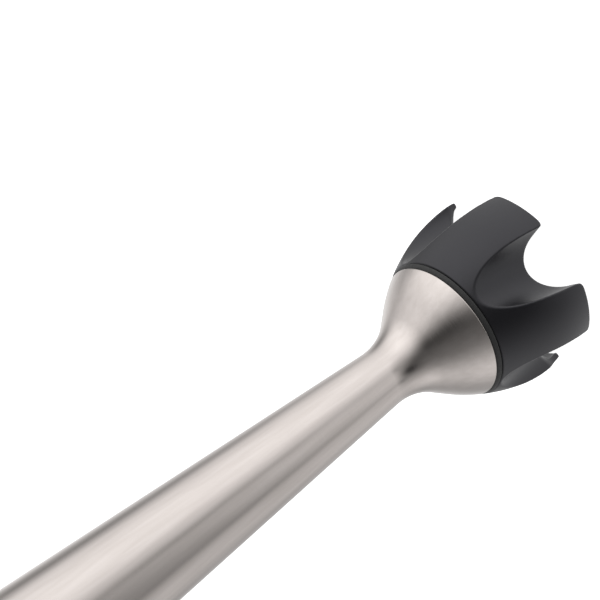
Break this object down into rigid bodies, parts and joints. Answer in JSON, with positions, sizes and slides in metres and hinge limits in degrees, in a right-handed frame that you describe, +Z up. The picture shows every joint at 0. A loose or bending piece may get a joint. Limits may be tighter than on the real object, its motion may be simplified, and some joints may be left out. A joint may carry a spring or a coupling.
{
  "type": "immersion blender",
  "caption": "Hand-held stick blender: slim motor handle, conical steel foot with a flared bell, a scalloped petal guard round the blade, two front buttons and a speed ring.",
  "frame": {"origin": "centre of the plane of the guard's five tips, on the drive axis", "axes": "+Z up the drive axis from the guard to the cord gland, -Y towards the two buttons, +X completes the frame"},
  "size_m": [0.066, 0.0649, 0.405],
  "materials": {
    "guard_plastic": "moulded satin black plastic",
    "soft_seal": "smooth black rubber",
    "foot_steel": "satin stainless steel, brushed round",
    "turned_steel": "turned and ground stainless steel",
    "bronze": "sintered bronze and brass",
    "nylon": "natural nylon",
    "black_plastic": "fine moulded texture, black",
    "grip_rubber": "soft-touch rubber",
    "button_rubber": "soft-touch grey",
    "laminated_steel": "stacked electrical sheet",
    "copper": "enamelled copper wire",
    "carbon": "pressed carbon",
    "cast_aluminium": "die cast",
    "circuit_board": "green laminate",
    "capacitor_case": "yellow moulded case"
  },
  "bodies": {
    "foot": {"blade_guard": "guard_plastic", "guard_ring": "soft_seal", "foot_shell": "foot_steel", "bearing_hub": "turned_steel", "lower_bush": "bronze", "shaft_seal": "soft_seal", "foot_collar": "black_plastic", "upper_bush": "bronze", "spigot_seal": "soft_seal"},
    "foot_drive": {"drive_shaft": "turned_steel", "blade": "turned_steel", "blade_nut": "turned_steel", "blade_spacer": "turned_steel", "thrust_washer": "nylon", "shaft_clip": "turned_steel", "foot_coupling": "nylon"},
    "handle": {"handle_nose": "black_plastic", "trim_band": "foot_steel", "housing_front": "black_plastic", "housing_rear": "black_plastic", "grip_sleeve": "grip_rubber", "motor_frame": "nylon", "lower_bracket": "cast_aluminium", "upper_bracket": "cast_aluminium", "lower_bearing": "turned_steel", "upper_bearing": "turned_steel", "lower_mount": "soft_seal", "upper_mount": "soft_seal", "stator_core": "laminated_steel", "stator_windings": "copper", "brush_holders": "bronze", "carbon_brushes": "carbon", "through_bolts": "turned_steel", "control_board": "circuit_board", "micro_switches": "black_plastic", "switch_carrier": "nylon", "suppression_capacitor": "capacitor_case", "terminal_block": "nylon", "button_bezel": "black_plastic", "speed_track": "circuit_board", "top_cap": "black_plastic", "cord_gland": "soft_seal", "cord_clamp": "nylon"},
    "rotor": {"motor_coupling": "nylon", "motor_shaft": "turned_steel", "armature_core": "laminated_steel", "armature_windings": "copper", "commutator": "copper", "cooling_fan": "nylon"},
    "power_button": {"power_button": "button_rubber", "power_spring": "turned_steel"},
    "turbo_button": {"turbo_button": "button_rubber", "turbo_spring": "turned_steel"},
    "left_release": {"release_button_left": "button_rubber"},
    "right_release": {"release_button_right": "button_rubber"},
    "speed_dial": {"speed_dial": "black_plastic", "dial_wiper": "bronze"}
  },
  "joints": [
    {"name": "handle_release", "type": "slide", "parent": "foot", "child": "handle", "axis": [0, 0, 1], "range_m": [0, 0.06]},
    {"name": "blade_spin", "type": "hinge", "parent": "foot", "child": "foot_drive", "pos_m": [0, 0, 0], "axis": [0, 0, 1], "continuous": true},
    {"name": "motor_spin", "type": "hinge", "parent": "handle", "child": "rotor", "pos_m": [0, 0, 0], "axis": [0, 0, 1], "continuous": true},
    {"name": "power_press", "type": "slide", "parent": "handle", "child": "power_button", "axis": [0, 1, 0], "range_m": [0, 0.0025], "stiffness_N_per_m": 900, "springref_m": -0.001},
    {"name": "turbo_press", "type": "slide", "parent": "handle", "child": "turbo_button", "axis": [0, 1, 0], "range_m": [0, 0.0025], "stiffness_N_per_m": 900, "springref_m": -0.001},
    {"name": "left_release_press", "type": "slide", "parent": "handle", "child": "left_release", "axis": [1, 0, 0], "range_m": [0, 0.002], "stiffness_N_per_m": 2000, "springref_m": -0.001},
    {"name": "right_release_press", "type": "slide", "parent": "handle", "child": "right_release", "axis": [-1, 0, 0], "range_m": [0, 0.002], "stiffness_N_per_m": 2000, "springref_m": -0.001},
    {"name": "speed_turn", "type": "hinge", "parent": "handle", "child": "speed_dial", "pos_m": [0, 0, 0.39], "axis": [0, 0, 1], "range_deg": [0, 270]}
  ],
  "couplings": [
    {"joint": "blade_spin", "follows": "motor_spin", "ratio": 1}
  ]
}
